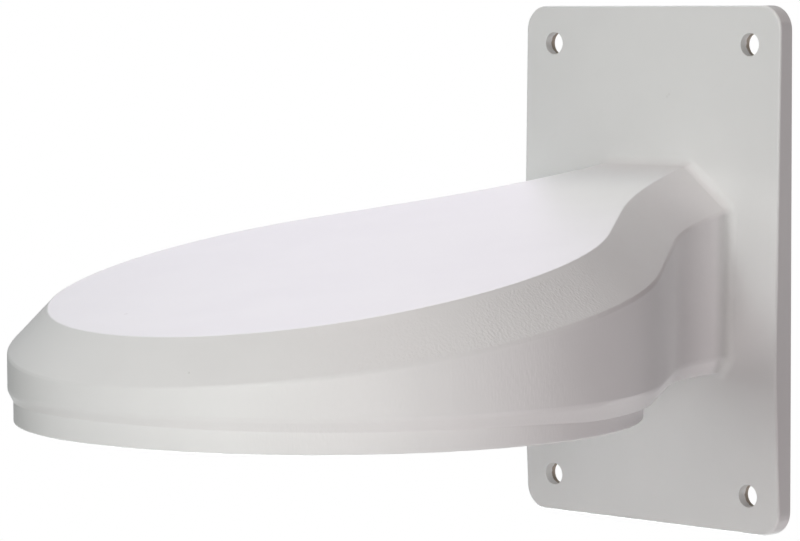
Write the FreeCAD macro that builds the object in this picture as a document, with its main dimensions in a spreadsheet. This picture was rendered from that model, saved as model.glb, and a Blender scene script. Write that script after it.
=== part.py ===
import FreeCAD, Part
from enum import IntEnum
import math
import os
import Sketcher

# Wall bracket for a dome camera: one hollow die casting, in millimetres.
# The origin is the centre of the plate's back, in the plane of the wall. The arm reaches out
# along -Y, +Z is up and +X is to the right. The round rim under the cap takes the camera.
# Slopes and turns are in degrees; heights and drops are taken from the plate's centre.
SIZES = {
    # wall plate
    "plate_width": 96,
    "plate_height": 150,
    "plate_thickness": 5,
    "plate_swell": 1.9,
    "plate_ridge_radius": 320,
    "plate_corner_radius": 7,
    "plate_edge_radius": 0.7,
    "back_rim_width": 4,
    "back_recess_depth": 1.3,
    "wall_hole_margin": 11,
    "wall_hole_diameter": 6.6,
    # from the wall to the axis of the cap's rim
    "arm_reach": 135.6,
    # flat top: height at the wall, fall, and outline
    "top_height": 30.5,
    "top_slope": 9.9,
    "top_front_shift": 6.85,
    "top_front_radius": 69.5,
    "top_flank_radius": 88,
    "top_taper_length": 29.9,
    "top_neck_radius": 151,
    "top_edge_radius": 0.6,
    # outline at the foot of the slanted shoulder, where the upright sides begin
    "shoulder_depth": 12.3,
    "side_slope": 9.4,
    "side_front_shift": 1.14,
    "side_front_radius": 84.5,
    "side_flank_radius": 93.4,
    "side_taper_length": 43.1,
    "side_neck_radius": 79,
    "side_edge_radius": 1.5,
    # directions shared by the two outlines
    "flank_turn": 23.2,
    "taper_turn": 34.4,
    # underside of the cap and arm, and the joint with the plate
    "body_drop": 29.2,
    "band_height": 4.4,
    "band_inset": 2.3,
    "band_top_radius": 3,
    "band_foot_radius": 0.4,
    "root_radius": 2.6,
    # round rim
    "rim_height": 4.1,
    "rim_setback": 1.3,
    "rim_wall": 4,
    "rim_edge_radius": 0.5,
    # hollow, and the posts that take the camera's screws
    "casting_wall": 4,
    "post_circle": 120,
    "post_diameter": 12,
    "post_turn": 45,
    "screw_hole_diameter": 3.3,
    "screw_hole_depth": 14,
}
POST_COUNT = 4
# The solids that cut run past the faces they cut by this much.
MARGIN = 1
# These shares of the wall keep it even round the hollow's slanted corners.
CORNER_INSET_SHARE = 0.33
CORNER_DROP_SHARE = 0.5
# An edge lies on a surface when every point of it is nearer than this.
NEAR = 0.02


class Spot(IntEnum):
    """A sketch element's points, as constraints count them."""

    START = 1
    END = 2
    MIDDLE = 3


class Axis(IntEnum):
    """A sketch's own lines, as constraints count them."""

    ACROSS = -1
    UP = -2


START, END, MIDDLE = Spot
X_LINE, Y_LINE = Axis
ORIGIN = START


class Size:
    """A length or an angle, with the spreadsheet expression that it comes from."""

    def __init__(self, text, number):
        self.text = text
        self.number = number

    def __add__(self, other):
        other = size(other)
        return Size("(%s + %s)" % (self.text, other.text), self.number + other.number)

    def __sub__(self, other):
        other = size(other)
        return Size("(%s - %s)" % (self.text, other.text), self.number - other.number)

    def __mul__(self, other):
        other = size(other)
        return Size("(%s * %s)" % (self.text, other.text), self.number * other.number)

    def __truediv__(self, other):
        other = size(other)
        return Size("(%s / %s)" % (self.text, other.text), self.number / other.number)

    def __neg__(self):
        return Size("(0 - %s)" % self.text, -self.number)

    def cos(self):
        """Cosine of an angle in degrees."""
        return Size("cos(%s * 1 deg)" % self.text, math.cos(math.radians(self.number)))

    def sin(self):
        """Sine of an angle in degrees."""
        return Size("sin(%s * 1 deg)" % self.text, math.sin(math.radians(self.number)))


def size(item):
    """A named size, a plain number, or a size that is already worked out."""
    if isinstance(item, Size):
        return item
    if isinstance(item, str):
        return Size("Sizes." + item, SIZES[item])
    return Size(repr(item), item)


# Sizes that follow from the others
SIDE_HEIGHT = size("top_height") - "shoulder_depth"
RIM_DROP = size("body_drop") + "rim_height"
RIM_RADIUS = size("side_front_radius") - "rim_setback"
FLOOR_DROP = size("body_drop") - "casting_wall"
HALF_WIDTH = size("plate_width") / 2
HALF_HEIGHT = size("plate_height") / 2
PLATE_FRONT = -size("plate_thickness")
PLATE_CREST = PLATE_FRONT - "plate_swell"
BAND_TOP = size("band_height") - "body_drop"


def vector(x, y, z=0):
    """Vector of three sizes or numbers."""
    return FreeCAD.Vector(size(x).number, size(y).number, size(z).number)


def bind(item, **settings):
    """Tie number properties of an object to sizes."""
    for name, value in settings.items():
        item.setExpression(name, size(value).text)


def make_sheet(doc):
    """Put the driving sizes in a spreadsheet, one named cell to a row."""
    sheet = doc.addObject("Spreadsheet::Sheet", "Sizes")
    for row, (name, number) in enumerate(SIZES.items(), start=1):
        sheet.set("A%d" % row, name)
        sheet.set("B%d" % row, str(number))
        sheet.setAlias("B%d" % row, name)
    doc.recompute()


def new_sketch(body, name, role, out=0, along=0, slope=0):
    """Start a sketch on one of the body's planes, moved and then tilted about its X axis."""
    plane = [item for item in body.Origin.OriginFeatures if item.Role == role][0]
    sketch = body.newObject("Sketcher::SketchObject", name)
    sketch.AttachmentSupport = [(plane, "")]
    sketch.MapMode = "FlatFace"
    tilt = FreeCAD.Rotation(vector(1, 0), size(slope).number)
    sketch.AttachmentOffset = FreeCAD.Placement(vector(0, along, out), tilt)
    sketch.setExpression("AttachmentOffset.Base.y", size(along).text)
    sketch.setExpression("AttachmentOffset.Base.z", size(out).text)
    if slope:
        sketch.setExpression("AttachmentOffset.Rotation.Angle", size(slope).text + " * 1 deg")
    return sketch


def fix(sketch, kind, *where, value=None, angle=False):
    """Add a constraint whose value, if it has one, is tied to a size."""
    if value is None:
        sketch.addConstraint(Sketcher.Constraint(kind, *where))
        return
    value = size(value)
    number = math.radians(value.number) if angle else value.number
    index = sketch.addConstraint(Sketcher.Constraint(kind, *where, number))
    unit = " * 1 deg" if angle else ""
    sketch.setExpression("Constraints[%d]" % index, value.text + unit)


def arc(middle, radius, start, end):
    """Arc from one direction to another, counter-clockwise, in radians."""
    return Part.ArcOfCircle(Part.Circle(middle, vector(0, 0, 1), radius), start, end)


def toward(turn):
    """Unit vector in a direction given in radians."""
    return vector(math.cos(turn), math.sin(turn))


def mirrored(point):
    """The point on the other side of the bracket's middle plane."""
    return vector(-point.x, point.y)


def outline_curves(centre, front, flank, taper, neck, end):
    """Curves of a cap and arm outline at their true places, right half and then left.

    A wide front arc runs into a flank arc on each side, then a straight taper, then a hollow
    neck arc that ends at the wall's side, and a back line closes it."""
    flank_turn = -math.radians(SIZES["flank_turn"])
    taper_turn = math.radians(SIZES["taper_turn"])
    front_middle = vector(0, -centre)
    flank_middle = front_middle + toward(flank_turn) * (front - flank)
    taper_start = flank_middle + toward(taper_turn) * flank
    taper_end = taper_start + toward(taper_turn + math.pi / 2) * taper
    neck_middle = taper_end + toward(taper_turn) * neck
    neck_turn = math.asin((neck_middle.y - end) / neck)
    back_right = neck_middle - toward(neck_turn) * neck
    return [
        arc(front_middle, front, math.pi - flank_turn, 2 * math.pi + flank_turn),
        arc(flank_middle, flank, flank_turn, taper_turn),
        Part.LineSegment(taper_start, taper_end),
        arc(neck_middle, neck, math.pi + neck_turn, math.pi + taper_turn),
        arc(mirrored(flank_middle), flank, math.pi - taper_turn, math.pi - flank_turn),
        Part.LineSegment(mirrored(taper_start), mirrored(taper_end)),
        arc(mirrored(neck_middle), neck, -taper_turn, -neck_turn),
        Part.LineSegment(back_right, mirrored(back_right)),
    ]


def outline_sketch(body, name, family, height, end, inset=0):
    """Draw the top or the side outline on its sloping plane, drawn in evenly if asked.

    The plane's height is taken at the wall, and end is where the back line lies on it."""
    slope = size(family + "_slope")
    centre = (size("arm_reach") + (family + "_front_shift")) / slope.cos()
    front = size(family + "_front_radius") - inset
    flank = size(family + "_flank_radius") - inset
    taper = size(family + "_taper_length")
    neck = size(family + "_neck_radius") + inset
    sketch = new_sketch(body, name, "XY_Plane", out=height, slope=slope)
    numbers = [size(item).number for item in (centre, front, flank, taper, neck, end)]
    sketch.addGeometry(outline_curves(*numbers), False)
    front_arc, flank_right, taper_right, neck_right = 0, 1, 2, 3
    flank_left, taper_left, neck_left, back = 4, 5, 6, 7
    fix(sketch, "Tangent", front_arc, END, flank_right, START)
    fix(sketch, "Tangent", flank_right, END, taper_right, START)
    fix(sketch, "Tangent", taper_right, END, neck_right, END)
    fix(sketch, "Coincident", neck_right, START, back, START)
    fix(sketch, "Coincident", neck_left, END, back, END)
    fix(sketch, "Tangent", taper_left, END, neck_left, START)
    fix(sketch, "Tangent", flank_left, START, taper_left, START)
    fix(sketch, "Tangent", flank_left, END, front_arc, START)
    fix(sketch, "PointOnObject", front_arc, MIDDLE, Y_LINE)
    fix(sketch, "DistanceY", front_arc, MIDDLE, X_LINE, ORIGIN, value=centre)
    fix(sketch, "Radius", front_arc, value=front)
    joint_drop = front * size("flank_turn").sin()
    fix(sketch, "DistanceY", front_arc, END, front_arc, MIDDLE, value=joint_drop)
    fix(sketch, "Horizontal", front_arc, START, front_arc, END)
    fix(sketch, "Radius", flank_right, value=flank)
    fix(sketch, "Angle", taper_right, value=size(90) + "taper_turn", angle=True)
    fix(sketch, "Distance", taper_right, value=taper)
    fix(sketch, "Radius", neck_right, value=neck)
    fix(sketch, "DistanceY", X_LINE, ORIGIN, back, START, value=end)
    fix(sketch, "Horizontal", back)
    fix(sketch, "Equal", flank_right, flank_left)
    fix(sketch, "Horizontal", flank_right, END, flank_left, START)
    fix(sketch, "Equal", taper_right, taper_left)
    fix(sketch, "Equal", neck_right, neck_left)
    return sketch


def circle_sketch(body, name, drop, radius, along=0):
    """Draw one circle on a level plane below the plate's centre."""
    sketch = new_sketch(body, name, "XY_Plane", out=-size(drop), along=along)
    radius = size(radius)
    sketch.addGeometry(Part.Circle(vector(0, 0), vector(0, 0, 1), radius.number), False)
    fix(sketch, "Coincident", 0, MIDDLE, X_LINE, ORIGIN)
    fix(sketch, "Radius", 0, value=radius)
    return sketch


def post_sketch(body, name, drop, diameter):
    """Draw the circle of the first post or its hole; the sketch's origin is the rim's axis."""
    sketch = new_sketch(body, name, "XY_Plane", out=-size(drop), along=-size("arm_reach"))
    reach = size("post_circle") / 2
    across = reach * size("post_turn").cos()
    forward = reach * size("post_turn").sin()
    radius = size(diameter) / 2
    circle = Part.Circle(vector(across, forward), vector(0, 0, 1), radius.number)
    sketch.addGeometry(circle, False)
    fix(sketch, "DistanceX", X_LINE, ORIGIN, 0, MIDDLE, value=across)
    fix(sketch, "DistanceY", X_LINE, ORIGIN, 0, MIDDLE, value=forward)
    fix(sketch, "Radius", 0, value=radius)
    return sketch


def pad_up(body, name, profile, length):
    """Pad a level sketch upward."""
    pad = body.newObject("PartDesign::Pad", name)
    pad.Profile = profile
    bind(pad, Length=length)
    return pad


def pad_down(body, name, profile, length):
    """Pad a sloping sketch straight down."""
    pad = pad_up(body, name, profile, length)
    pad.UseCustomVector = True
    pad.Direction = vector(0, 0, -1)
    pad.AlongSketchNormal = False
    return pad


def cut_through(body, name, profile, upward):
    """Cut the sketch's area right through, to the front or the back of its plane."""
    pocket = body.newObject("PartDesign::Pocket", name)
    pocket.Profile = profile
    pocket.Type = "ThroughAll"
    pocket.Reversed = upward
    return pocket


def cut_flat_below(body, name, drop):
    """Cut away everything below a level plane."""
    reach = (size("arm_reach") + "side_front_radius") * 2
    area = circle_sketch(body, name + "_area", drop, reach)
    return cut_through(body, name, area, upward=False)


def ruled_loft(body, name, profile, section):
    """Join two outlines with straight slanted faces."""
    loft = body.newObject("PartDesign::AdditiveLoft", name)
    loft.Profile = profile
    loft.Sections = [section]
    loft.Ruled = True
    return loft


def repeat_round_rim(body, name, feature, sketch):
    """Repeat a cut round the rim's axis, once for each post."""
    pattern = body.newObject("PartDesign::PolarPattern", name)
    pattern.Originals = [feature]
    pattern.Axis = (sketch, ["N_Axis"])
    pattern.Angle = 360
    pattern.Occurrences = POST_COUNT
    body.Tip = pattern
    return pattern


def picked_edges(feature, wanted):
    """Names of the edges whose points pass a test."""
    names = []
    for number, edge in enumerate(feature.Shape.Edges, start=1):
        if wanted(edge.discretize(5)):
            names.append("Edge%d" % number)
    return names


def round_edges(body, name, base, wanted, radius):
    """Fillet the edges that a test picks on the base feature."""
    fillet = body.newObject("PartDesign::Fillet", name)
    fillet.Base = (base, picked_edges(base, wanted))
    bind(fillet, Radius=radius)
    return fillet


def clear_of_plate(points):
    """Whether an edge is more than the line that closes an outline within the plate."""
    return any(point.y < PLATE_FRONT.number for point in points)


def on_plane(height, slope=0):
    """Test for the edges on a plane that falls away from the wall at a slope."""
    rise = math.tan(math.radians(size(slope).number))
    level = size(height).number

    def wanted(points):
        flat = all(abs(point.z - level - point.y * rise) < NEAR for point in points)
        return flat and clear_of_plate(points)

    return wanted


def on_plate_front(points):
    """Whether an edge keeps to the thin layer in which the plate's front swells."""
    near, far = PLATE_FRONT.number + NEAR, PLATE_CREST.number - NEAR
    return all(far < point.y < near for point in points)


def past_corner_centre(point):
    """How far a point lies outside the rectangle of the plate's corner centres, each way."""
    corner = SIZES["plate_corner_radius"]
    across = max(abs(point.x) - HALF_WIDTH.number + corner, 0)
    up = max(abs(point.z) - HALF_HEIGHT.number + corner, 0)
    return across, up


def at_root(points):
    """Test for the line where the arm meets the plate's front."""
    return on_plate_front(points) and all(past_corner_centre(point) == (0, 0) for point in points)


def round_plate(points):
    """Test for the edge that runs round the plate's front."""
    corner = SIZES["plate_corner_radius"]
    reaches = [math.hypot(*past_corner_centre(point)) for point in points]
    return on_plate_front(points) and all(abs(reach - corner) < NEAR for reach in reaches)


def at_corners(half_width, half_height):
    """Test for the four edges that run along Y at the corners of an upright rectangle."""

    def wanted(points):
        across = all(abs(abs(point.x) - half_width.number) < NEAR for point in points)
        return across and all(abs(abs(point.z) - half_height.number) < NEAR for point in points)

    return wanted


def make_hood(body):
    """Cap and arm in one sweep: upright sides, slanted shoulder, flat sloping top."""
    doc = body.Document
    inside_plate = PLATE_FRONT / 2
    side = outline_sketch(body, "side_outline", "side", SIDE_HEIGHT, inside_plate)
    top = outline_sketch(body, "top_outline", "top", "top_height", inside_plate)
    pad_down(body, "skirt", side, SIDE_HEIGHT + "body_drop" + MARGIN)
    flat = cut_flat_below(body, "underside", "body_drop")
    doc.recompute()
    band = body.newObject("PartDesign::Chamfer", "lower_band")
    band.Base = (flat, picked_edges(flat, on_plane(-size("body_drop"))))
    band.ChamferType = "Two distances"
    bind(band, Size="band_height", Size2="band_inset")
    doc.recompute()
    crest = round_edges(body, "band_top_round", band, on_plane(BAND_TOP), "band_top_radius")
    doc.recompute()
    foot = on_plane(-size("body_drop"))
    round_edges(body, "band_foot_round", crest, foot, "band_foot_radius")
    hood = ruled_loft(body, "hood", side, top)
    doc.recompute()
    shoulder = on_plane(SIDE_HEIGHT, "side_slope")
    rounded = round_edges(body, "shoulder_round", hood, shoulder, "side_edge_radius")
    doc.recompute()
    brow = on_plane("top_height", "top_slope")
    round_edges(body, "top_round", rounded, brow, "top_edge_radius")


def make_rim(body):
    """Round rim that stands a little below the cap and seats the camera."""
    circle = circle_sketch(body, "rim_circle", RIM_DROP, RIM_RADIUS, along=-size("arm_reach"))
    rim = pad_up(body, "rim", circle, RIM_DROP - FLOOR_DROP)
    body.Document.recompute()
    round_edges(body, "rim_round", rim, on_plane(-RIM_DROP), "rim_edge_radius")


def tangent_turn(point, middle, radius, side):
    """Direction from an arc's middle at which a line from the point touches the arc."""
    away = point - middle
    return math.atan2(away.y, away.x) % (2 * math.pi) + side * math.acos(radius / away.Length)


def plate_profile(body):
    """Draw the plate from its right side: flat behind, and in front two faint slopes that
    meet over a wide arc, level with the top of the lower band."""
    sketch = new_sketch(body, "plate_profile", "YZ_Plane")
    radius = size("plate_ridge_radius")
    arc_middle = (PLATE_CREST + radius, BAND_TOP)
    low_back, high_back = vector(0, -HALF_HEIGHT), vector(0, HALF_HEIGHT)
    low_front, high_front = vector(PLATE_FRONT, -HALF_HEIGHT), vector(PLATE_FRONT, HALF_HEIGHT)
    middle = vector(*arc_middle)
    upper = tangent_turn(high_front, middle, radius.number, 1)
    lower = tangent_turn(low_front, middle, radius.number, -1)
    upper_point = middle + toward(upper) * radius.number
    lower_point = middle + toward(lower) * radius.number
    curves = [
        Part.LineSegment(low_back, high_back),
        Part.LineSegment(high_back, high_front),
        Part.LineSegment(high_front, upper_point),
        arc(middle, radius.number, upper, lower),
        Part.LineSegment(lower_point, low_front),
        Part.LineSegment(low_front, low_back),
    ]
    sketch.addGeometry(curves, False)
    back, top, upper_front, ridge, lower_front, bottom = range(len(curves))
    fix(sketch, "Coincident", back, END, top, START)
    fix(sketch, "Coincident", top, END, upper_front, START)
    fix(sketch, "Tangent", upper_front, END, ridge, START)
    fix(sketch, "Tangent", ridge, END, lower_front, START)
    fix(sketch, "Coincident", lower_front, END, bottom, START)
    fix(sketch, "Coincident", bottom, END, back, START)
    fix(sketch, "PointOnObject", back, START, Y_LINE)
    fix(sketch, "PointOnObject", back, END, Y_LINE)
    fix(sketch, "Horizontal", top)
    fix(sketch, "Horizontal", bottom)
    fix(sketch, "DistanceY", back, START, X_LINE, ORIGIN, value=HALF_HEIGHT)
    fix(sketch, "DistanceY", X_LINE, ORIGIN, back, END, value=HALF_HEIGHT)
    fix(sketch, "DistanceX", top, END, X_LINE, ORIGIN, value="plate_thickness")
    fix(sketch, "DistanceX", bottom, START, X_LINE, ORIGIN, value="plate_thickness")
    fix(sketch, "DistanceX", X_LINE, ORIGIN, ridge, MIDDLE, value=arc_middle[0])
    fix(sketch, "DistanceY", ridge, MIDDLE, X_LINE, ORIGIN, value=-arc_middle[1])
    fix(sketch, "Radius", ridge, value=radius)
    return sketch


def recess_back(body):
    """Shallow recess in the plate's back, inside the even rim that lies on the wall."""
    across = HALF_WIDTH - "back_rim_width"
    up = HALF_HEIGHT - "back_rim_width"
    sketch = new_sketch(body, "back_recess_area", "XZ_Plane")
    corners = [vector(-across, -up), vector(across, -up), vector(across, up), vector(-across, up)]
    for start, end in zip(corners, corners[1:] + corners[:1]):
        sketch.addGeometry(Part.LineSegment(start, end), False)
    bottom, right, top, left = range(len(corners))
    for line, after in ((bottom, right), (right, top), (top, left), (left, bottom)):
        fix(sketch, "Coincident", line, END, after, START)
    fix(sketch, "Horizontal", bottom)
    fix(sketch, "Horizontal", top)
    fix(sketch, "Vertical", right)
    fix(sketch, "Vertical", left)
    fix(sketch, "Symmetric", bottom, START, top, START, X_LINE, ORIGIN)
    fix(sketch, "DistanceX", X_LINE, ORIGIN, right, END, value=across)
    fix(sketch, "DistanceY", X_LINE, ORIGIN, right, END, value=up)
    recess = body.newObject("PartDesign::Pocket", "back_recess")
    recess.Profile = sketch
    recess.Reversed = True
    bind(recess, Length="back_recess_depth")
    body.Document.recompute()
    corner_radius = size("plate_corner_radius") - "back_rim_width"
    round_edges(body, "recess_corners", recess, at_corners(across, up), corner_radius)


def make_plate(body):
    """Wall plate, joined to the arm: rounded corners, a softened front edge, a recessed back."""
    doc = body.Document
    plate = pad_up(body, "plate", plate_profile(body), "plate_width")
    plate.SideType = "Symmetric"
    doc.recompute()
    root = round_edges(body, "root_round", plate, at_root, "root_radius")
    doc.recompute()
    at_plate_corners = at_corners(HALF_WIDTH, HALF_HEIGHT)
    corners = round_edges(body, "plate_corners", root, at_plate_corners, "plate_corner_radius")
    doc.recompute()
    round_edges(body, "plate_front_round", corners, round_plate, "plate_edge_radius")
    recess_back(body)


def cut_wall_holes(body):
    """Plain holes at the plate's four corners, for the screws that hold it to the wall."""
    sketch = new_sketch(body, "wall_hole_places", "XZ_Plane")
    across = HALF_WIDTH - "wall_hole_margin"
    up = HALF_HEIGHT - "wall_hole_margin"
    radius = size("wall_hole_diameter") / 2
    for right, above in ((1, 1), (-1, 1), (-1, -1), (1, -1)):
        middle = vector(across * right, up * above)
        sketch.addGeometry(Part.Circle(middle, vector(0, 0, 1), radius.number), False)
    fix(sketch, "DistanceX", X_LINE, ORIGIN, 0, MIDDLE, value=across)
    fix(sketch, "DistanceY", X_LINE, ORIGIN, 0, MIDDLE, value=up)
    fix(sketch, "Radius", 0, value=radius)
    for other in (1, 2, 3):
        fix(sketch, "Equal", 0, other)
    fix(sketch, "Symmetric", 0, MIDDLE, 1, MIDDLE, Y_LINE)
    fix(sketch, "Symmetric", 0, MIDDLE, 2, MIDDLE, X_LINE, ORIGIN)
    fix(sketch, "Symmetric", 0, MIDDLE, 3, MIDDLE, X_LINE)
    cut_through(body, "wall_holes", sketch, upward=True)


def cut_screw_holes(body):
    """Blind holes in the posts for the camera's screws, open at the rim's level."""
    sketch = post_sketch(body, "screw_hole_place", RIM_DROP, "screw_hole_diameter")
    hole = body.newObject("PartDesign::Pocket", "screw_hole")
    hole.Profile = sketch
    hole.Reversed = True
    bind(hole, Length="screw_hole_depth")
    body.Document.recompute()
    repeat_round_rim(body, "screw_holes", hole, sketch)


def make_outside(doc):
    """The casting's outer form, still solid: cap, arm, rim and plate."""
    body = doc.addObject("PartDesign::Body", "outside")
    make_hood(body)
    make_rim(body)
    make_plate(body)
    cut_wall_holes(body)
    cut_screw_holes(body)
    return body


def make_inside(doc):
    """The hollow as a solid: it follows the cap and arm one wall's thickness in, runs out
    through the plate's back and the rim's mouth, and leaves the posts standing."""
    body = doc.addObject("PartDesign::Body", "inside")
    wall = size("casting_wall")
    side_height = SIDE_HEIGHT - wall * CORNER_DROP_SHARE
    side = outline_sketch(body, "inner_side", "side", side_height, MARGIN, inset=wall)
    top_height = size("top_height") - wall / size("top_slope").cos()
    corner_inset = wall * CORNER_INSET_SHARE
    top = outline_sketch(body, "inner_top", "top", top_height, MARGIN, inset=corner_inset)
    pad_down(body, "inner_skirt", side, SIDE_HEIGHT + "body_drop" + MARGIN)
    cut_flat_below(body, "arm_floor", FLOOR_DROP)
    ruled_loft(body, "inner_hood", side, top)
    low = RIM_DROP + MARGIN
    mouth_radius = RIM_RADIUS - "rim_wall"
    mouth = circle_sketch(body, "mouth_circle", low, mouth_radius, along=-size("arm_reach"))
    pad_up(body, "mouth", mouth, low - FLOOR_DROP + MARGIN)
    sketch = post_sketch(body, "post_place", low, "post_diameter")
    post = cut_through(body, "post", sketch, upward=True)
    doc.recompute()
    repeat_round_rim(body, "posts", post, sketch)
    return body


def make_casting(doc):
    """The bracket: the outer form less the hollow."""
    casting = doc.addObject("Part::Cut", "casting")
    casting.Base = make_outside(doc)
    casting.Tool = make_inside(doc)
    casting.Label = "bracket_casting"
    casting.Placement = FreeCAD.Placement()
    doc.recompute()
    return casting


def check(doc, parts):
    """Stop where anything in the document failed, or a part is not a sound solid."""
    for item in doc.Objects:
        if "Invalid" in item.State or "Error" in item.State:
            raise RuntimeError("%s did not build: %s" % (item.Label, item.State))
    for part in parts:
        if part.Shape.isNull() or not part.Shape.isValid():
            raise RuntimeError("%s is not a valid solid" % part.Label)


def main():
    doc = FreeCAD.newDocument("camera_wall_bracket")
    make_sheet(doc)
    parts = [make_casting(doc)]
    check(doc, parts)
    os.makedirs("parts", exist_ok=True)
    for part in parts:
        part.Shape.exportStep(os.path.join("parts", part.Label + ".step"))
        print("%s: %.0f cubic mm" % (part.Label, part.Shape.Volume))


main()
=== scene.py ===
"""Camera wall bracket: its finish, light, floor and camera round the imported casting.

The bracket is one hollow aluminium casting in a light powder coat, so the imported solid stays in
view. This file gives it the coat, the bare metal that shows where the coat stops, and the soft
studio that it stands in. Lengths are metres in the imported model's own frame.
"""

from __future__ import annotations

import logging
import math
from dataclasses import dataclass
from enum import Enum
from typing import Any

import bpy
from mathutils import Matrix, Vector


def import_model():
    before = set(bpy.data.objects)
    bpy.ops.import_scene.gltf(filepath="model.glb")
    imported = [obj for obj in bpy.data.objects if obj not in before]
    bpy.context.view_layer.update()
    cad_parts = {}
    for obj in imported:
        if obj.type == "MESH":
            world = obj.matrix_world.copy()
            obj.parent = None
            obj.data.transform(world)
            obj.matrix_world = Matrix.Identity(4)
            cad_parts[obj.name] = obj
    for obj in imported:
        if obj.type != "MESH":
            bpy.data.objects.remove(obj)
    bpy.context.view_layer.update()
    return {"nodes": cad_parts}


LOG = logging.getLogger("bracket")
MILLIMETRE = 0.001
NOISE_MIDDLE = 0.5

Colour = tuple[float, float, float]
Point = tuple[float, float, float]
Span = tuple[float, float]


def millimetres(low: float, high: float) -> Span:
    """A span between two lengths, in metres."""
    return low * MILLIMETRE, high * MILLIMETRE


def around(edge: float, span: Span) -> Span:
    """A span that is moved to lie about an edge."""
    return edge + span[0], edge + span[1]


class Operation(Enum):
    """What a Math node or a Vector Math node does."""

    ADD = "ADD"
    SUBTRACT = "SUBTRACT"
    MULTIPLY = "MULTIPLY"
    SIZE = "ABSOLUTE"
    ROOT = "SQRT"
    LARGER = "MAXIMUM"
    IS_LESS = "LESS_THAN"
    DISTANCE = "DISTANCE"
    DOT = "DOT_PRODUCT"


class Way(Enum):
    """Whether a socket of a node group takes or gives."""

    IN = "INPUT"
    OUT = "OUTPUT"


class MixColours(Enum):
    """The places of a Mix node's colour sockets, which share their names with its others."""

    BELOW = 6
    ABOVE = 7
    RESULT = 2


class Signal:
    """A number that varies over a piece: a socket that takes part in plain expressions."""

    def __init__(self, graph: Graph, socket: bpy.types.NodeSocket) -> None:
        """Wraps a socket of a graph."""
        self.graph = graph
        self.socket = socket

    def _math(self, operation: Operation, *numbers: Signal | float) -> Signal:
        """Adds one Math node.

        Args:
            operation: the node's operation.
            numbers: its inputs in order, sockets or plain numbers.

        Returns:
            The node's result.
        """
        sockets = dict(enumerate(numbers))
        node = self.graph.add("ShaderNodeMath", {"operation": operation.value}, sockets)
        return Signal(self.graph, node.outputs[0])

    def __add__(self, other: Signal | float) -> Signal:
        """Sum."""
        return self._math(Operation.ADD, self, other)

    __radd__ = __add__

    def __sub__(self, other: Signal | float) -> Signal:
        """Difference."""
        return self._math(Operation.SUBTRACT, self, other)

    def __rsub__(self, other: Signal | float) -> Signal:
        """Difference with the number first."""
        return self._math(Operation.SUBTRACT, other, self)

    def __mul__(self, other: Signal | float) -> Signal:
        """Product."""
        return self._math(Operation.MULTIPLY, self, other)

    __rmul__ = __mul__

    def __abs__(self) -> Signal:
        """Size without sign."""
        return self._math(Operation.SIZE, self)

    def less_than(self, other: Signal) -> Signal:
        """1 where this number is the smaller, and 0 elsewhere."""
        return self._math(Operation.IS_LESS, self, other)

    def maximum(self, other: Signal) -> Signal:
        """The larger of this number and another."""
        return self._math(Operation.LARGER, self, other)

    def length_with(self, other: Signal) -> Signal:
        """Length of the plane vector that this number and another make."""
        return self._math(Operation.ROOT, self * self + other * other)

    def rises(self, span: Span) -> Signal:
        """Goes smoothly from 0 at the span's first number to 1 at its second.

        Args:
            span: the two numbers; the second may be the lower.

        Returns:
            A mask from 0 to 1.
        """
        ends = {"From Min": span[0], "From Max": span[1], "To Min": 0.0, "To Max": 1.0}
        node = self.graph.add(
            "ShaderNodeMapRange",
            {"interpolation_type": "SMOOTHSTEP"},
            {"Value": self, **ends},
        )
        return Signal(self.graph, node.outputs["Result"])


class Graph:
    """A node tree and the ways to add to it."""

    def __init__(self, tree: bpy.types.NodeTree) -> None:
        """Empties the tree."""
        self.tree = tree
        tree.nodes.clear()

    def add(
        self,
        kind: str,
        settings: dict[str, Any] | None = None,
        sockets: dict[str | int, Any] | None = None,
    ) -> bpy.types.Node:
        """Adds a node of any kind.

        Args:
            kind: the node's type.
            settings: its settings by name, made before its sockets are set.
            sockets: the values or links of its sockets, by name or place.

        Returns:
            The node.
        """
        node = self.tree.nodes.new(kind)
        for name, value in (settings or {}).items():
            setattr(node, name, value)
        for key, value in (sockets or {}).items():
            source = value.socket if isinstance(value, Signal) else value
            if isinstance(source, bpy.types.NodeSocket):
                self.tree.links.new(source, node.inputs[key])
            else:
                node.inputs[key].default_value = source
        return node

    def signal(self, socket: bpy.types.NodeSocket) -> Signal:
        """Wraps one of the tree's sockets."""
        return Signal(self, socket)

    def vectors(
        self, operation: Operation, *inputs: bpy.types.NodeSocket | Point
    ) -> bpy.types.Node:
        """Adds a Vector Math node.

        Args:
            operation: the node's operation.
            inputs: its vectors in order, sockets or plain numbers.

        Returns:
            The node, with a vector or a number as its result.
        """
        sockets = dict(enumerate(inputs))
        return self.add("ShaderNodeVectorMath", {"operation": operation.value}, sockets)


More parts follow.
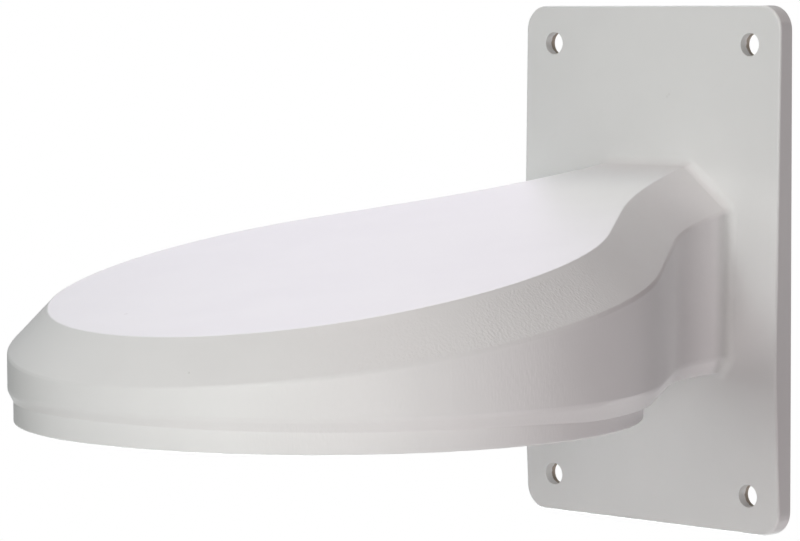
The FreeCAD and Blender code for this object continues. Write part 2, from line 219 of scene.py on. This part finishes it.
class SurfaceGraph(Graph):
    """The node tree of one material."""

    def __init__(self, name: str) -> None:
        """Makes a material with an empty tree.

        Args:
            name: the material's name.
        """
        self.material = bpy.data.materials.new(name)
        self.material.use_nodes = True
        super().__init__(self.material.node_tree)

    def place(self) -> tuple[bpy.types.NodeSocket, Signal, Signal, Signal]:
        """The point on the piece.

        Returns:
            The point's socket, and its places across, towards the wall and up, in metres.
        """
        vector = self.add("ShaderNodeTexCoord").outputs["Object"]
        parts = self.add("ShaderNodeSeparateXYZ", sockets={0: vector}).outputs
        return vector, self.signal(parts[0]), self.signal(parts[1]), self.signal(parts[2])

    def distance(self, vector: bpy.types.NodeSocket, point: Point) -> Signal:
        """Distance from a point, in metres."""
        return self.signal(self.vectors(Operation.DISTANCE, vector, point).outputs["Value"])

    def noise(self, vector: bpy.types.NodeSocket, grain: float, layers: float = 2.0) -> Signal:
        """Noise about one half.

        Args:
            vector: the point that it is read at.
            grain: the size of its patches, in metres.
            layers: how many finer layers it has.

        Returns:
            Its strength.
        """
        sockets = {"Vector": vector, "Scale": 1.0 / grain, "Detail": layers}
        node = self.add("ShaderNodeTexNoise", {"noise_dimensions": "3D"}, sockets)
        return self.signal(node.outputs[0])

    def blend(
        self,
        mask: Signal,
        first: Colour | bpy.types.NodeSocket,
        second: Colour | bpy.types.NodeSocket,
    ) -> bpy.types.NodeSocket:
        """Blends two colours.

        Args:
            mask: how far the second covers the first.
            first: the colour below.
            second: the colour above.

        Returns:
            The colour's socket.
        """
        below, above = (
            colour if isinstance(colour, bpy.types.NodeSocket) else (*colour, 1.0)
            for colour in (first, second)
        )
        sockets = {
            "Factor": mask,
            MixColours.BELOW.value: below,
            MixColours.ABOVE.value: above,
        }
        node = self.add("ShaderNodeMix", {"data_type": "RGBA"}, sockets)
        return node.outputs[MixColours.RESULT.value]

    def relief(
        self,
        height: Signal,
        depth: float,
        below: bpy.types.NodeSocket | None = None,
    ) -> bpy.types.NodeSocket:
        """Turns a height into a change of the surface's normal.

        Args:
            height: the height from 0 to 1.
            depth: what 1 stands for, in metres.
            below: the normal of coarser relief that this lies on.

        Returns:
            The normal's socket.
        """
        sockets = {"Strength": 1.0, "Distance": depth, "Height": height}
        if below is not None:
            sockets["Normal"] = below
        return self.add("ShaderNodeBump", sockets=sockets).outputs["Normal"]

    def finish(self, shader: bpy.types.Node) -> bpy.types.Material:
        """Joins a shader to the output and gives the material."""
        self.add("ShaderNodeOutputMaterial", sockets={"Surface": shader.outputs[0]})
        return self.material


class GeometryGraph(Graph):
    """The node tree of one Geometry Nodes modifier."""

    def __init__(self, name: str, numbers: dict[str, float]) -> None:
        """Makes a group that takes a mesh and named numbers, and gives a mesh.

        Args:
            name: the group's name.
            numbers: its numbers by name.
        """
        self.group = bpy.data.node_groups.new(name, "GeometryNodeTree")
        for way in Way:
            self._socket("Geometry", way, "NodeSocketGeometry")
        self.values = {
            self._socket(label, Way.IN, "NodeSocketFloat"): value
            for label, value in numbers.items()
        }
        super().__init__(self.group)
        self.inputs = self.add("NodeGroupInput").outputs

    def _socket(self, label: str, way: Way, kind: str) -> str:
        """Adds a socket to the group and gives its identifier."""
        sockets = self.group.interface
        return sockets.new_socket(label, in_out=way.value, socket_type=kind).identifier

    def finish(
        self, mesh: bpy.types.NodeSocket, piece: bpy.types.Object, material: bpy.types.Material
    ) -> None:
        """Ends the tree and puts the group on a piece.

        Args:
            mesh: the tree's result.
            piece: the object that gets the modifier.
            material: the piece's finish.
        """
        whole = self.add("GeometryNodeRealizeInstances", sockets={0: mesh}).outputs[0]
        coated = self.add("GeometryNodeSetMaterial", sockets={0: whole, "Material": material})
        self.add("NodeGroupOutput", sockets={0: coated.outputs[0]})
        modifier = piece.modifiers.new(self.group.name, "NODES")
        modifier.node_group = self.group
        for identifier, value in self.values.items():
            modifier[identifier] = value


@dataclass(frozen=True)
class HoleSet:
    """Four round holes that mirror each other across two lines, seen along their axis."""

    across: float
    along: float
    radius: float

    def reach(self, first: Signal, second: Signal) -> Signal:
        """Distance from the nearest hole's axis.

        Args:
            first: place across, from the set's centre.
            second: place along, from the set's centre.

        Returns:
            The distance in metres.
        """
        return (abs(first) - self.across).length_with(abs(second) - self.along)


@dataclass(frozen=True)
class Pit:
    """A small flaw in the coat where a grain of dust lay."""

    place: Point
    radius: float
    stain: float
    depth: float = 0.04 * MILLIMETRE
    flat_share: float = 0.4

    def mask(self, graph: SurfaceGraph, vector: bpy.types.NodeSocket) -> Signal:
        """How deep a point lies in the pit, from 0 outside to 1 at its middle."""
        slope = (self.radius, self.flat_share * self.radius)
        return graph.distance(vector, self.place).rises(slope)


@dataclass(frozen=True)
class SlopingPlane:
    """A plane that falls away from the wall: the flat top, or the foot of the shoulder."""

    height: float
    slope: float

    def drop(self, inward: Signal, up: Signal) -> Signal:
        """How far a point lies below the plane, in metres."""
        return self.height + math.tan(math.radians(self.slope)) * inward - up


@dataclass(frozen=True)
class PowderCoat:
    """Light powder coat with a fine orange peel over a cast aluminium wall."""

    wall_holes: HoleSet
    post_holes: HoleSet
    post_centre: float
    post_radius: float
    seat_height: float
    bore_top: float
    flat_top: SlopingPlane
    shoulder_foot: SlopingPlane
    plate_half_width: float
    plate_half_height: float
    paint: Colour = (0.79, 0.79, 0.79)
    dust: Colour = (0.35, 0.33, 0.31)
    cast_metal: Colour = (0.36, 0.31, 0.26)
    machined_metal: Colour = (0.62, 0.62, 0.63)
    refraction: float = 1.5
    paint_roughness: float = 0.46
    machined_polish: float = 0.1
    cast_metallic: float = 0.1
    machined_metallic: float = 0.85
    # Faint clouds in the coat.
    cloud_grain: float = 30.0 * MILLIMETRE
    cloud_layers: float = 3.0
    cloud_span: Span = (0.3, 0.7)
    cloud_tones: Span = (0.985, 1.012)
    cloud_sheen: float = 0.06
    # The plate's narrow side faces carry painted shade: how much darker the coat is made there,
    # and where it starts in from the sides and behind the front.
    painted_edge_shade_tone: float = 0.86
    painted_edge_shade_side: Span = millimetres(-0.6, -0.2)
    painted_edge_shade_depth: Span = millimetres(-9.0, -8.0)
    # Orange peel: its specks, its patches, and where it fades.
    peel_grain: float = 0.7 * MILLIMETRE
    peel_layers: float = 1.0
    peel_depth: float = 0.12 * MILLIMETRE
    peel_stretch: Point = (1.0, 1.0, 0.36)
    peel_everywhere: float = 0.55
    peel_far_round: float = 0.28
    patch_grain: float = 22.0 * MILLIMETRE
    patch_span: Span = (0.35, 0.65)
    patch_least: float = 0.4
    patch_gain: float = 1.2
    top_fade: Span = millimetres(0.4, 1.5)
    plate_fade: Span = millimetres(-9.0, -12.0)
    front_fade: Span = millimetres(22.0, 50.0)
    far_round_fade: Span = millimetres(45.0, 80.0)
    foot_fade: Span = millimetres(1.0, -1.0)
    # Slow waves under the peel.
    wave_grain: float = 14.0 * MILLIMETRE
    wave_depth: float = 0.05 * MILLIMETRE
    # Bare metal in the wall holes.
    painted_depth: float = 2.7 * MILLIMETRE
    ragged_grain: float = 1.5 * MILLIMETRE
    ragged_width: float = 1.2 * MILLIMETRE
    coat_end: Span = millimetres(-0.15, 0.15)
    wall_bore_side: Span = millimetres(0.25, 0.1)
    # Bare metal on the posts' ends and in their holes.
    face_fade: Span = millimetres(0.06, 0.02)
    face_side: Span = millimetres(0.1, 0.0)
    post_bore_side: Span = millimetres(0.15, 0.05)
    post_bore_end: Span = millimetres(1.0, 0.5)
    pits: tuple[Pit, ...] = (
        Pit((0.0068, -0.0055, 0.0489), 0.6 * MILLIMETRE, 0.10),
        Pit((0.0076, -0.0055, 0.0496), 0.6 * MILLIMETRE, 0.10),
        Pit((-0.0158, -0.1928, -0.0032), 0.8 * MILLIMETRE, 0.22),
        Pit((0.0291, -0.2120, -0.0139), 0.45 * MILLIMETRE, 0.13, 0.1 * MILLIMETRE),
    )

    def material(self, name: str) -> bpy.types.Material:
        """Builds the finish.

        Args:
            name: the material's name.

        Returns:
            The material.
        """
        graph = SurfaceGraph(name)
        vector, across, inward, up = graph.place()
        cloud = graph.noise(vector, self.cloud_grain, self.cloud_layers)

        cast = self._cast_bores(graph, vector, across, inward, up)
        machined = self._machined_posts(across, inward, up)
        # Mask of the painted shade on the plate's narrow side faces.
        painted_edge_shade = self._painted_edge_shade_mask(across, up, inward)
        colour = self._painted(graph, vector, cloud.rises(self.cloud_span), painted_edge_shade)
        colour = graph.blend(cast, colour, self.cast_metal)
        colour = graph.blend(machined, colour, self.machined_metal)

        fine = self._relief(graph, vector, self._peel_strength(across, inward, up))
        shader = graph.add(
            "ShaderNodeBsdfPrincipled",
            sockets={
                "Base Color": colour,
                "Metallic": self.machined_metallic * machined + self.cast_metallic * cast,
                "Roughness": self.paint_roughness
                + self.cloud_sheen * (cloud - NOISE_MIDDLE)
                - self.machined_polish * machined,
                "IOR": self.refraction,
                "Normal": fine,
            },
        )
        return graph.finish(shader)

    def _relief(
        self, graph: SurfaceGraph, vector: bpy.types.NodeSocket, strength: Signal
    ) -> bpy.types.NodeSocket:
        """Relief of the coat: slow waves, orange peel in patches, and the pits.

        Args:
            graph: the material's tree.
            vector: the point on the piece.
            strength: how strong the orange peel is there.

        Returns:
            The normal's socket.
        """
        wave = graph.relief(graph.noise(vector, self.wave_grain), self.wave_depth)
        drawn_out = graph.vectors(Operation.MULTIPLY, vector, self.peel_stretch).outputs[0]
        thick = graph.noise(vector, self.patch_grain).rises(self.patch_span)
        patches = self.patch_least + self.patch_gain * thick
        peel = graph.noise(drawn_out, self.peel_grain, self.peel_layers)
        fine = graph.relief(peel * patches * strength, self.peel_depth, wave)
        for pit in self.pits:
            fine = graph.relief(1.0 - pit.mask(graph, vector), pit.depth, fine)
        return fine

    def _painted(
        self, graph: SurfaceGraph, vector: bpy.types.NodeSocket, tone: Signal, painted_edge_shade: Signal
    ) -> bpy.types.NodeSocket:
        """Colour of the coat: faint clouds, painted shade on the plate's narrow side faces, and
        the pits' stains.

        Args:
            graph: the material's tree.
            vector: the point on the piece.
            tone: where the clouds are light.
            painted_edge_shade: where painted shade darkens the plate's narrow side faces.

        Returns:
            The colour's socket.
        """
        darker, lighter, edge = (
            tuple(share * channel for channel in self.paint)
            for share in (*self.cloud_tones, self.painted_edge_shade_tone)
        )
        # Painted shade: the plate's narrow side faces are darkened to the edge tone.
        colour = graph.blend(painted_edge_shade, graph.blend(tone, darker, lighter), edge)
        for pit in self.pits:
            colour = graph.blend(pit.stain * pit.mask(graph, vector), colour, self.dust)
        return colour

    def _painted_edge_shade_mask(self, across: Signal, up: Signal, inward: Signal) -> Signal:
        """The narrow faces round the plate, where painted shade makes the coat a little darker.

        Args:
            across: place across, from the middle.
            up: height.
            inward: place towards the wall.

        Returns:
            A mask of these faces.
        """
        side = abs(across).rises(around(self.plate_half_width, self.painted_edge_shade_side))
        end = abs(up).rises(around(self.plate_half_height, self.painted_edge_shade_side))
        return side.maximum(end) * inward.rises(self.painted_edge_shade_depth)

    def _peel_strength(self, across: Signal, inward: Signal, up: Signal) -> Signal:
        """Strength of the orange peel.

        The flat top, the plate and the front are smooth. The sides have some. The further round
        it lies, the more of it the shoulder has, and the less the side below.

        Args:
            across: place across, from the middle.
            inward: place towards the wall.
            up: height.

        Returns:
            The strength, from 0 to about 1.
        """
        below_top = self.flat_top.drop(inward, up).rises(self.top_fade)
        off_plate = inward.rises(self.plate_fade)
        off_front = abs(across).rises(self.front_fade)
        far_round = abs(across).rises(self.far_round_fade)
        foot = self.shoulder_foot.drop(inward, up).rises(self.foot_fade)
        on_shoulder = self.peel_everywhere + self.peel_far_round * far_round
        on_side = self.peel_everywhere - self.peel_far_round * far_round
        strength = foot * on_shoulder + (1.0 - foot) * on_side
        return below_top * off_plate * off_front * strength

    def _cast_bores(
        self,
        graph: SurfaceGraph,
        vector: bpy.types.NodeSocket,
        across: Signal,
        inward: Signal,
        up: Signal,
    ) -> Signal:
        """Bare metal in the wall holes' bores, behind the depth that the coat reached.

        Args:
            graph: the material's tree.
            vector: the point on the piece.
            across: its place across, from the middle.
            inward: its place towards the wall.
            up: its height.

        Returns:
            A mask of the bare metal.
        """
        ragged = self.ragged_width * (graph.noise(vector, self.ragged_grain) - NOISE_MIDDLE)
        behind = (inward + ragged).rises(around(-self.painted_depth, self.coat_end))
        reach = self.wall_holes.reach(across, up)
        inside = reach.rises(around(self.wall_holes.radius, self.wall_bore_side))
        return behind * inside

    def _machined_posts(self, across: Signal, inward: Signal, up: Signal) -> Signal:
        """Bare metal on the posts' faced ends and in their tapping holes.

        Args:
            across: place across, from the middle.
            inward: place towards the wall.
            up: height.

        Returns:
            A mask of the bare metal.
        """
        reach = self.post_holes.reach(across, inward - self.post_centre)
        face = up.rises(around(self.seat_height, self.face_fade))
        end = reach.rises(around(self.post_radius, self.face_side))
        bore = reach.rises(around(self.post_holes.radius, self.post_bore_side))
        deep = up.rises(around(self.bore_top, self.post_bore_end))
        return (face * end).maximum(bore * deep)


@dataclass(frozen=True)
class NormalMend:
    """Puts right the few corner normals that a triangle of no area has dragged off the surface."""

    name: str = "mend_normals"
    input_name: str = "Least Match"
    furthest: float = 33.0

    def add_to(self, piece: bpy.types.Object, material: bpy.types.Material) -> None:
        """Gives such corners the normal of their own face, and leaves the others as they are.

        Args:
            piece: the object that is mended.
            material: its finish.
        """
        least_match = math.cos(math.radians(self.furthest))
        graph = GeometryGraph(self.name, {self.input_name: least_match})
        normal = graph.add("GeometryNodeInputNormal").outputs
        smooth, flat = normal["Normal"], normal["True Normal"]
        match = graph.signal(graph.vectors(Operation.DOT, smooth, flat).outputs["Value"])
        astray = match.less_than(graph.signal(graph.inputs[self.input_name]))
        mended = graph.add(
            "GeometryNodeSwitch",
            {"input_type": "VECTOR"},
            {"Switch": astray, "False": smooth, "True": flat},
        )
        result = graph.add(
            "GeometryNodeSetMeshNormal",
            {"mode": "FREE", "domain": "CORNER"},
            {"Mesh": graph.inputs["Geometry"], "Custom Normal": mended.outputs[0]},
        )
        graph.finish(result.outputs["Mesh"], piece, material)


@dataclass
class Casting:
    """The bracket itself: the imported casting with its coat."""

    node: str = "bracket_casting"
    slot: str = "painted_casting"
    wall_hole_across: float = 37.0 * MILLIMETRE
    wall_hole_along: float = 64.0 * MILLIMETRE
    wall_hole_radius: float = 3.3 * MILLIMETRE
    post_circle_radius: float = 60.0 * MILLIMETRE
    post_turn: float = 45.0
    post_radius: float = 6.0 * MILLIMETRE
    post_hole_radius: float = 1.65 * MILLIMETRE
    post_hole_depth: float = 14.0 * MILLIMETRE
    post_centre: float = -135.6 * MILLIMETRE
    seat_height: float = -33.3 * MILLIMETRE
    top_height: float = 30.5 * MILLIMETRE
    top_slope: float = 9.9
    shoulder_foot_height: float = 18.2 * MILLIMETRE
    shoulder_foot_slope: float = 9.4
    plate_width: float = 96.0 * MILLIMETRE
    plate_height: float = 150.0 * MILLIMETRE

    def coat(self) -> PowderCoat:
        """The coat, with the places where it stops taken from the casting's sizes.

        Returns:
            The finish.
        """
        turn = math.radians(self.post_turn)
        return PowderCoat(
            wall_holes=HoleSet(self.wall_hole_across, self.wall_hole_along, self.wall_hole_radius),
            post_holes=HoleSet(
                self.post_circle_radius * math.cos(turn),
                self.post_circle_radius * math.sin(turn),
                self.post_hole_radius,
            ),
            post_centre=self.post_centre,
            post_radius=self.post_radius,
            seat_height=self.seat_height,
            bore_top=self.seat_height + self.post_hole_depth,
            flat_top=SlopingPlane(self.top_height, self.top_slope),
            shoulder_foot=SlopingPlane(self.shoulder_foot_height, self.shoulder_foot_slope),
            plate_half_width=self.plate_width / 2,
            plate_half_height=self.plate_height / 2,
        )

    def dress(self, nodes: dict[str, bpy.types.Object]) -> bpy.types.Object:
        """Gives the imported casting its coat.

        Args:
            nodes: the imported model's objects by name.

        Returns:
            The casting's object.
        """
        casting = nodes[self.node]
        material = self.coat().material(self.slot)
        for slot in casting.material_slots:
            slot.material = material
        NormalMend().add_to(casting, material)
        return casting


@dataclass(frozen=True)
class Softbox:
    """A soft square light that faces the bracket."""

    name: str
    azimuth: float
    elevation: float
    power: float
    tint: Colour = (1.0, 1.0, 1.0)
    distance: float = 1.6
    side: float = 0.5

    def build(self, target: Vector) -> bpy.types.Object:
        """Places the light.

        Args:
            target: the point that it faces.

        Returns:
            The light's object.
        """
        data = bpy.data.lights.new(self.name, "AREA")
        data.shape = "SQUARE"
        data.size = self.side
        data.energy = self.power
        data.color = self.tint
        light = bpy.data.objects.new(self.name, data)
        turn, rise = math.radians(self.azimuth), math.radians(self.elevation)
        away = Vector(
            (math.sin(turn) * math.cos(rise), -math.cos(turn) * math.cos(rise), math.sin(rise))
        )
        light.location = target + away * self.distance
        light.rotation_mode = "QUATERNION"
        light.rotation_quaternion = away.to_track_quat("Z", "Y")
        bpy.context.scene.collection.objects.link(light)
        return light


@dataclass
class Studio:
    """Pale floor, white surroundings, soft lights and the sheet that throws light up."""

    target: Point = (0.0, -0.11, 0.0)
    floor_height: float = -2.4
    floor_radius: float = 12.0
    floor_colour: Colour = (0.72, 0.72, 0.72)
    sheet_height: float = -1.2
    sheet_radius: float = 6.0
    sheet_colour: Colour = (0.86, 0.86, 0.86)
    sheet_roughness: float = 0.9
    disc_corners: int = 96
    behind: Colour = (1.0, 1.0, 1.0)
    lights: tuple[Softbox, ...] = (
        Softbox("key_high", 10.0, 28.0, 7.4, (0.94, 1.00, 0.97)),
        Softbox("key_low", 10.0, 5.0, 6.5, (0.99, 1.00, 0.97)),
        Softbox("fill_right", 50.0, 5.0, 4.5, (1.00, 0.90, 0.90)),
        Softbox("fill_right_low", 50.0, -20.0, 2.4, (1.00, 0.99, 0.93)),
        Softbox("overhead", 0.0, 88.0, 5.3, (1.00, 0.84, 0.84)),
        Softbox("back_left_high", -112.0, 50.0, 6.8, (0.87, 0.97, 1.00)),
        Softbox("back_left", -136.0, 50.0, 4.5, (1.00, 0.98, 0.91)),
        Softbox("back_left_low", -130.0, 28.0, 2.7, (0.88, 0.79, 1.00)),
        Softbox("side_right", 110.0, -20.0, 4.5, (1.00, 0.88, 0.92)),
        Softbox("bounce_front", 0.0, -45.0, 3.1, (1.00, 0.92, 0.93)),
        Softbox("bounce_left", -120.0, -45.0, 35.5, (0.94, 1.00, 0.99)),
        Softbox("bounce_back", 170.0, -20.0, 2.8, (1.00, 1.00, 0.99)),
    )

    def build(self) -> None:
        """Makes the floor, the surroundings and the lights."""
        self._floor()
        self._surroundings()
        for softbox in self.lights:
            light = softbox.build(Vector(self.target))
            LOG.info("light %s at %s", light.name, [round(v, 2) for v in light.location])
        view = bpy.context.scene.view_settings
        view.view_transform = "Standard"
        view.look = "None"

    def _disc(
        self, name: str, height: float, radius: float, sockets: dict[str, Any]
    ) -> bpy.types.Object:
        """Makes a level round sheet.

        Args:
            name: the object's name.
            height: its height.
            radius: its radius.
            sockets: the values of its shader.

        Returns:
            The sheet's object, staged.
        """
        turns = [2 * math.pi * i / self.disc_corners for i in range(self.disc_corners)]
        corners = [(radius * math.cos(turn), radius * math.sin(turn), height) for turn in turns]
        mesh = bpy.data.meshes.new(name)
        mesh.from_pydata(corners, [], [tuple(range(self.disc_corners))])
        sheet = bpy.data.objects.new(name, mesh)
        bpy.context.scene.collection.objects.link(sheet)
        graph = SurfaceGraph(name + "_paper")
        shader = graph.add("ShaderNodeBsdfPrincipled", sockets=sockets)
        mesh.materials.append(graph.finish(shader))
        return sheet

    def _floor(self) -> None:
        """A plain pale floor that is only looked at, and an unseen sheet that throws light up."""
        black, pale = (0.0, 0.0, 0.0, 1.0), (*self.floor_colour, 1.0)
        seen = {"Base Color": black, "Emission Color": pale, "Emission Strength": 1.0}
        floor = self._disc("floor", self.floor_height, self.floor_radius, seen)
        floor.visible_diffuse = floor.visible_glossy = False
        sheet_colour = (*self.sheet_colour, 1.0)
        unseen = {"Base Color": sheet_colour, "Roughness": self.sheet_roughness}
        sheet = self._disc("bounce_sheet", self.sheet_height, self.sheet_radius, unseen)
        sheet.visible_camera = False

    def _surroundings(self) -> None:
        """Plain white behind the bracket, which the camera sees and which gives no light."""
        world = bpy.data.worlds.new("studio")
        bpy.context.scene.world = world
        world.use_nodes = True
        graph = Graph(world.node_tree)
        seen = graph.add("ShaderNodeLightPath").outputs["Is Camera Ray"]
        white = {"Color": (*self.behind, 1.0), "Strength": seen}
        background = graph.add("ShaderNodeBackground", sockets=white)
        graph.add("ShaderNodeOutputWorld", sockets={"Surface": background.outputs[0]})


@dataclass(frozen=True)
class PhotoCamera:
    """The camera that the photograph was solved for."""

    place: Point = (0.69337, -0.81558, 0.07690)
    heading: float = 44.437
    dip: float = 4.2013
    tilt: float = -0.2225
    focal_pixels: float = 3681.54
    image_width: float = 800.0
    sensor: float = 36.0
    nearest: float = 0.05
    furthest: float = 50.0

    def build(self) -> bpy.types.Object:
        """Places the camera and makes it the scene's.

        Returns:
            The camera's object.
        """
        data = bpy.data.cameras.new("camera")
        data.sensor_fit = "HORIZONTAL"
        data.sensor_width = self.sensor
        data.lens = self.focal_pixels / self.image_width * self.sensor
        data.clip_start = self.nearest
        data.clip_end = self.furthest
        camera = bpy.data.objects.new("camera", data)
        yaw, pitch, roll = (math.radians(a) for a in (self.heading, self.dip, self.tilt))
        ahead = Vector(
            (-math.sin(yaw) * math.cos(pitch), math.cos(yaw) * math.cos(pitch), -math.sin(pitch))
        )
        level = Vector((math.cos(yaw), math.sin(yaw), 0.0))
        upright = level.cross(ahead)
        right = math.cos(roll) * level + math.sin(roll) * upright
        above = right.cross(ahead)
        turn = Matrix((right, above, -ahead)).transposed()
        camera.matrix_world = Matrix.Translation(self.place) @ turn.to_4x4()
        bpy.context.scene.collection.objects.link(camera)
        bpy.context.scene.camera = camera
        return camera


def main() -> None:
    """Builds the bracket, its studio and its camera."""
    logging.basicConfig(level=logging.INFO, format="%(name)s: %(message)s")
    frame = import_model()
    casting = Casting().dress(frame["nodes"])
    LOG.info("%s: %d faces", casting.name, len(casting.data.polygons))
    Studio().build()
    PhotoCamera().build()


if __name__ == "__main__":
    main()
